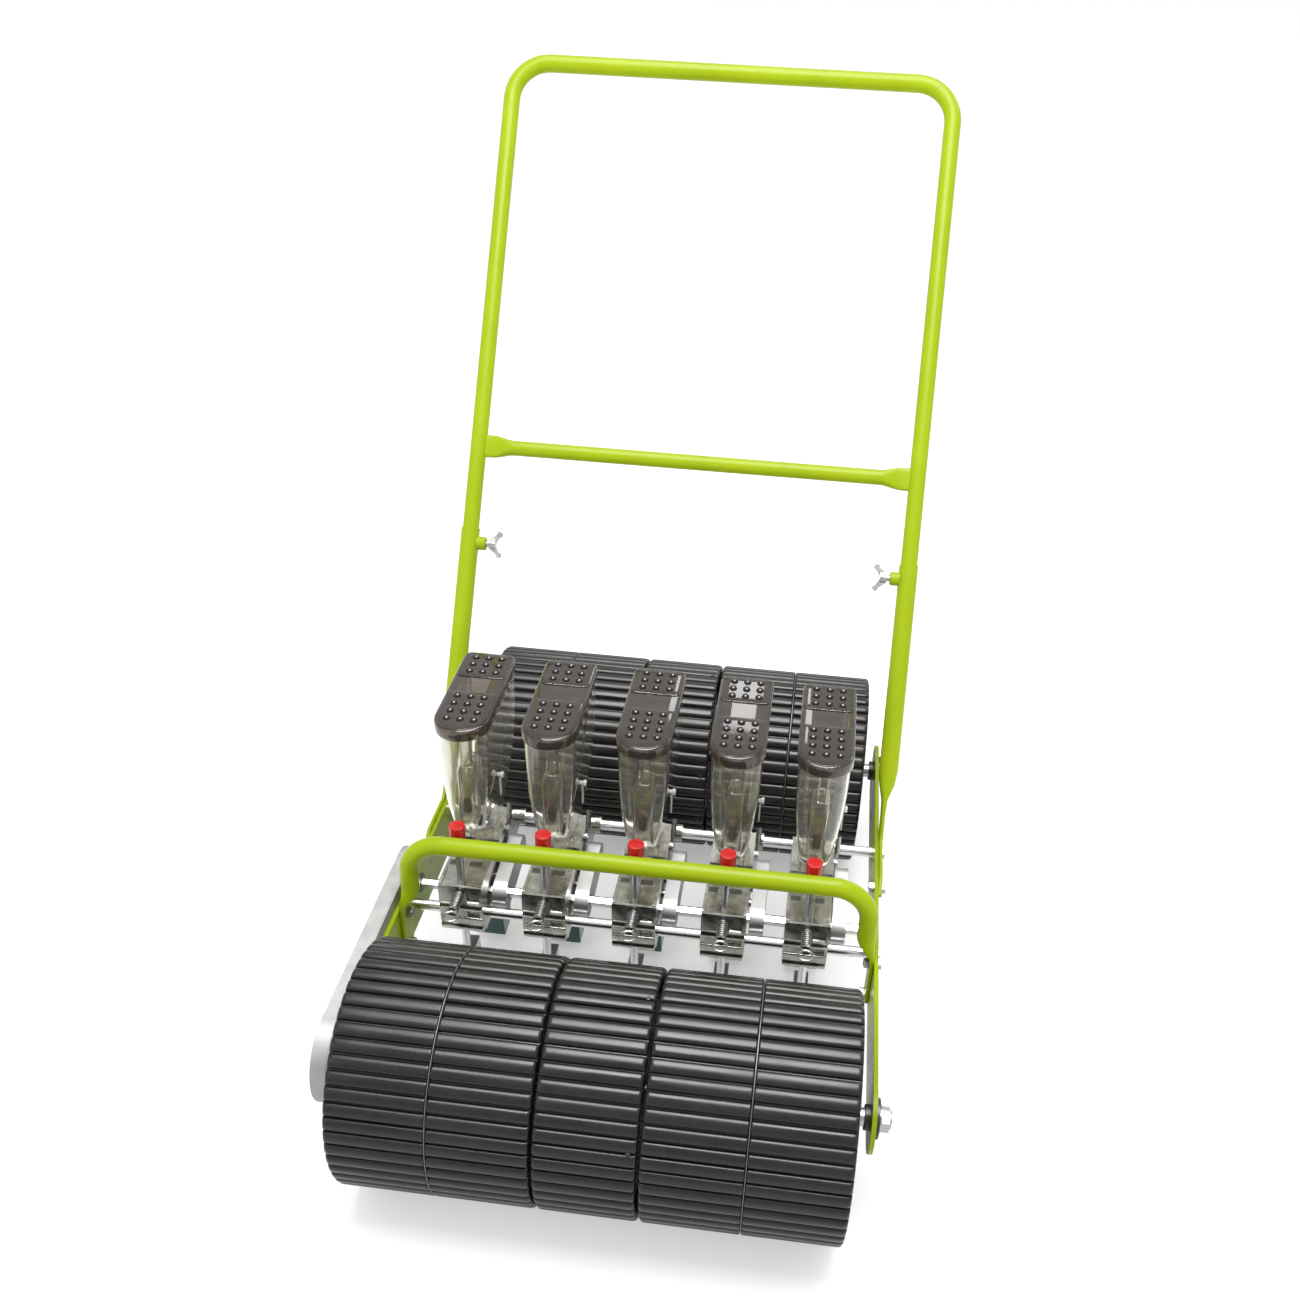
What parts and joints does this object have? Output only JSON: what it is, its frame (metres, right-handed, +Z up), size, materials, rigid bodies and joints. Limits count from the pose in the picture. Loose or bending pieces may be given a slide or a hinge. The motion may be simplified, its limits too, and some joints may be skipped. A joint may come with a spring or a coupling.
{
  "type": "walk-behind seed planter",
  "caption": "Hand-pushed seed planter: clear lidded hoppers on seeding units between two ribbed rollers, turned by an enclosed chain, with a sliding tubular handle.",
  "frame": {"origin": "on the ground under the middle of the planter's overall box", "axes": "+X along the rollers, to the right of someone who looks from the front roller towards the handle; +Y from the front roller towards the handle; +Z up"},
  "size_m": [0.6246, 1.1543, 1.0017],
  "materials": {
    "green": "glossy powder coat",
    "zinc": "bright zinc",
    "galvanised": "galvanised sheet",
    "bright_steel": "ground bar",
    "chain_steel": "oiled steel",
    "spring_steel": "drawn wire",
    "drum_black": "satin moulding",
    "bearing_black": "matt moulding",
    "seed_roller": "matt moulding",
    "body_alu": "machined, bright",
    "case_alu": "satin casting",
    "rod_steel": "brushed rod",
    "boot_green": "glossy",
    "hopper_clear": "clear moulding",
    "lid_smoke": "smoked moulding"
  },
  "bodies": {
    "frame": {"side_plate_left": "green", "side_plate_right": "green", "clamp_bar": "bright_steel", "rear_bar": "bright_steel", "front_carry_bar": "green", "handle_leg_left": "green", "handle_leg_right": "green", "frame_fasteners": "zinc", "axle_bearings": "bearing_black", "drive_chain": "chain_steel", "chain_case": "galvanised", "chain_case_cover": "galvanised", "gear_cases": "case_alu", "unit_chains": "chain_steel", "unit_frames": "body_alu", "seed_boots": "boot_green", "clamp_springs": "spring_steel", "unit_1_hopper": "hopper_clear", "unit_2_hopper": "hopper_clear", "unit_3_hopper": "hopper_clear", "unit_4_hopper": "hopper_clear", "unit_5_hopper": "hopper_clear"},
    "front_roller": {"front_axle": "zinc", "front_drums": "drum_black", "front_drum_discs": "drum_black", "drive_sprocket": "chain_steel"},
    "rear_roller": {"rear_axle": "zinc", "rear_drums": "drum_black", "rear_drum_discs": "drum_black"},
    "drive_shaft": {"drive_shaft": "bright_steel", "shaft_sprocket": "chain_steel", "unit_sprockets": "chain_steel"},
    "handle": {"handle_loop": "green"},
    "wing_bolt_left": {"wing_bolt_left": "zinc"},
    "wing_bolt_right": {"wing_bolt_right": "zinc"},
    "seed_roller_1": {"unit_1_seed_roller": "seed_roller"},
    "lid_1": {"unit_1_lid": "lid_smoke"},
    "lever_1": {"unit_1_lever": "zinc"},
    "opener_1": {"unit_1_opener": "rod_steel"},
    "clamp_screw_1": {"unit_1_clamp_screw": "zinc"},
    "seed_roller_2": {"unit_2_seed_roller": "seed_roller"},
    "lid_2": {"unit_2_lid": "lid_smoke"},
    "lever_2": {"unit_2_lever": "zinc"},
    "opener_2": {"unit_2_opener": "rod_steel"},
    "clamp_screw_2": {"unit_2_clamp_screw": "zinc"},
    "seed_roller_3": {"unit_3_seed_roller": "seed_roller"},
    "lid_3": {"unit_3_lid": "lid_smoke"},
    "lever_3": {"unit_3_lever": "zinc"},
    "opener_3": {"unit_3_opener": "rod_steel"},
    "clamp_screw_3": {"unit_3_clamp_screw": "zinc"},
    "seed_roller_4": {"unit_4_seed_roller": "seed_roller"},
    "lid_4": {"unit_4_lid": "lid_smoke"},
    "lever_4": {"unit_4_lever": "zinc"},
    "opener_4": {"unit_4_opener": "rod_steel"},
    "clamp_screw_4": {"unit_4_clamp_screw": "zinc"},
    "seed_roller_5": {"unit_5_seed_roller": "seed_roller"},
    "lid_5": {"unit_5_lid": "lid_smoke"},
    "lever_5": {"unit_5_lever": "zinc"},
    "opener_5": {"unit_5_opener": "rod_steel"},
    "clamp_screw_5": {"unit_5_clamp_screw": "zinc"}
  },
  "joints": [
    {"name": "front_roller_spin", "type": "hinge", "parent": "frame", "child": "front_roller", "pos_m": [0.00175, -0.44324, 0.13395], "axis": [1, 0, 0], "continuous": true, "deforming": ["drive_chain", "unit_chains"]},
    {"name": "rear_roller_spin", "type": "hinge", "parent": "frame", "child": "rear_roller", "pos_m": [0.00175, 0.19676, 0.13395], "axis": [1, 0, 0], "continuous": true},
    {"name": "drive_shaft_spin", "type": "hinge", "parent": "frame", "child": "drive_shaft", "pos_m": [0.00175, -0.16414, 0.14695], "axis": [1, 0, 0], "continuous": true},
    {"name": "seed_roller_1_spin", "type": "hinge", "parent": "frame", "child": "seed_roller_1", "pos_m": [-0.21725, -0.08836, 0.15495], "axis": [1, 0, 0], "continuous": true},
    {"name": "seed_roller_2_spin", "type": "hinge", "parent": "frame", "child": "seed_roller_2", "pos_m": [-0.11325, -0.08836, 0.15495], "axis": [1, 0, 0], "continuous": true},
    {"name": "seed_roller_3_spin", "type": "hinge", "parent": "frame", "child": "seed_roller_3", "pos_m": [-0.00225, -0.08836, 0.15495], "axis": [1, 0, 0], "continuous": true},
    {"name": "seed_roller_4_spin", "type": "hinge", "parent": "frame", "child": "seed_roller_4", "pos_m": [0.10675, -0.08836, 0.15495], "axis": [1, 0, 0], "continuous": true},
    {"name": "seed_roller_5_spin", "type": "hinge", "parent": "frame", "child": "seed_roller_5", "pos_m": [0.20775, -0.08836, 0.15495], "axis": [1, 0, 0], "continuous": true},
    {"name": "lid_1_hinge", "type": "hinge", "parent": "frame", "child": "lid_1", "pos_m": [-0.21725, -0.00414, 0.387], "axis": [-1, 0, 0], "range_deg": [0, 110]},
    {"name": "lid_2_hinge", "type": "hinge", "parent": "frame", "child": "lid_2", "pos_m": [-0.11325, -0.00414, 0.387], "axis": [-1, 0, 0], "range_deg": [0, 110]},
    {"name": "lid_3_hinge", "type": "hinge", "parent": "frame", "child": "lid_3", "pos_m": [-0.00225, -0.00414, 0.387], "axis": [-1, 0, 0], "range_deg": [0, 110]},
    {"name": "lid_4_hinge", "type": "hinge", "parent": "frame", "child": "lid_4", "pos_m": [0.10675, -0.00414, 0.387], "axis": [-1, 0, 0], "range_deg": [0, 110]},
    {"name": "lid_5_hinge", "type": "hinge", "parent": "frame", "child": "lid_5", "pos_m": [0.20775, -0.00414, 0.387], "axis": [-1, 0, 0], "range_deg": [0, 110]},
    {"name": "lever_1_hinge", "type": "hinge", "parent": "frame", "child": "lever_1", "pos_m": [-0.18825, -0.08836, 0.18695], "axis": [1, 0, 0], "range_deg": [-30, 30]},
    {"name": "lever_2_hinge", "type": "hinge", "parent": "frame", "child": "lever_2", "pos_m": [-0.08425, -0.08836, 0.18695], "axis": [1, 0, 0], "range_deg": [-30, 30]},
    {"name": "lever_3_hinge", "type": "hinge", "parent": "frame", "child": "lever_3", "pos_m": [0.02675, -0.08836, 0.18695], "axis": [1, 0, 0], "range_deg": [-30, 30]},
    {"name": "lever_4_hinge", "type": "hinge", "parent": "frame", "child": "lever_4", "pos_m": [0.13575, -0.08836, 0.18695], "axis": [1, 0, 0], "range_deg": [-30, 30]},
    {"name": "lever_5_hinge", "type": "hinge", "parent": "frame", "child": "lever_5", "pos_m": [0.23675, -0.08836, 0.18695], "axis": [1, 0, 0], "range_deg": [-30, 30]},
    {"name": "opener_1_slide", "type": "slide", "parent": "frame", "child": "opener_1", "axis": [0, 0, 1], "range_m": [-0.025, 0.02]},
    {"name": "opener_2_slide", "type": "slide", "parent": "frame", "child": "opener_2", "axis": [0, 0, 1], "range_m": [-0.025, 0.02]},
    {"name": "opener_3_slide", "type": "slide", "parent": "frame", "child": "opener_3", "axis": [0, 0, 1], "range_m": [-0.025, 0.02]},
    {"name": "opener_4_slide", "type": "slide", "parent": "frame", "child": "opener_4", "axis": [0, 0, 1], "range_m": [-0.025, 0.02]},
    {"name": "opener_5_slide", "type": "slide", "parent": "frame", "child": "opener_5", "axis": [0, 0, 1], "range_m": [-0.025, 0.02]},
    {"name": "clamp_screw_1_turn", "type": "hinge", "parent": "frame", "child": "clamp_screw_1", "pos_m": [-0.21725, -0.21724, 0.184], "axis": [0, 1, 0], "range_deg": [-180, 180]},
    {"name": "clamp_screw_2_turn", "type": "hinge", "parent": "frame", "child": "clamp_screw_2", "pos_m": [-0.11325, -0.21724, 0.184], "axis": [0, 1, 0], "range_deg": [-180, 180]},
    {"name": "clamp_screw_3_turn", "type": "hinge", "parent": "frame", "child": "clamp_screw_3", "pos_m": [-0.00225, -0.21724, 0.184], "axis": [0, 1, 0], "range_deg": [-180, 180]},
    {"name": "clamp_screw_4_turn", "type": "hinge", "parent": "frame", "child": "clamp_screw_4", "pos_m": [0.10675, -0.21724, 0.184], "axis": [0, 1, 0], "range_deg": [-180, 180]},
    {"name": "clamp_screw_5_turn", "type": "hinge", "parent": "frame", "child": "clamp_screw_5", "pos_m": [0.20775, -0.21724, 0.184], "axis": [0, 1, 0], "range_deg": [-180, 180]},
    {"name": "handle_slide", "type": "slide", "parent": "frame", "child": "handle", "axis": [0, 0.5707, 0.8211], "range_m": [-0.09, 0.05]},
    {"name": "wing_bolt_left_turn", "type": "hinge", "parent": "frame", "child": "wing_bolt_left", "pos_m": [-0.29525, 0.19185, 0.45207], "axis": [1, 0, 0], "range_deg": [-180, 180]},
    {"name": "wing_bolt_right_turn", "type": "hinge", "parent": "frame", "child": "wing_bolt_right", "pos_m": [0.29875, 0.19185, 0.45207], "axis": [1, 0, 0], "range_deg": [-180, 180]}
  ],
  "couplings": [
    {"joint": "drive_shaft_spin", "follows": "front_roller_spin", "ratio": 1},
    {"joint": "seed_roller_1_spin", "follows": "front_roller_spin", "ratio": 1},
    {"joint": "seed_roller_2_spin", "follows": "front_roller_spin", "ratio": 1},
    {"joint": "seed_roller_3_spin", "follows": "front_roller_spin", "ratio": 1},
    {"joint": "seed_roller_4_spin", "follows": "front_roller_spin", "ratio": 1},
    {"joint": "seed_roller_5_spin", "follows": "front_roller_spin", "ratio": 1}
  ]
}
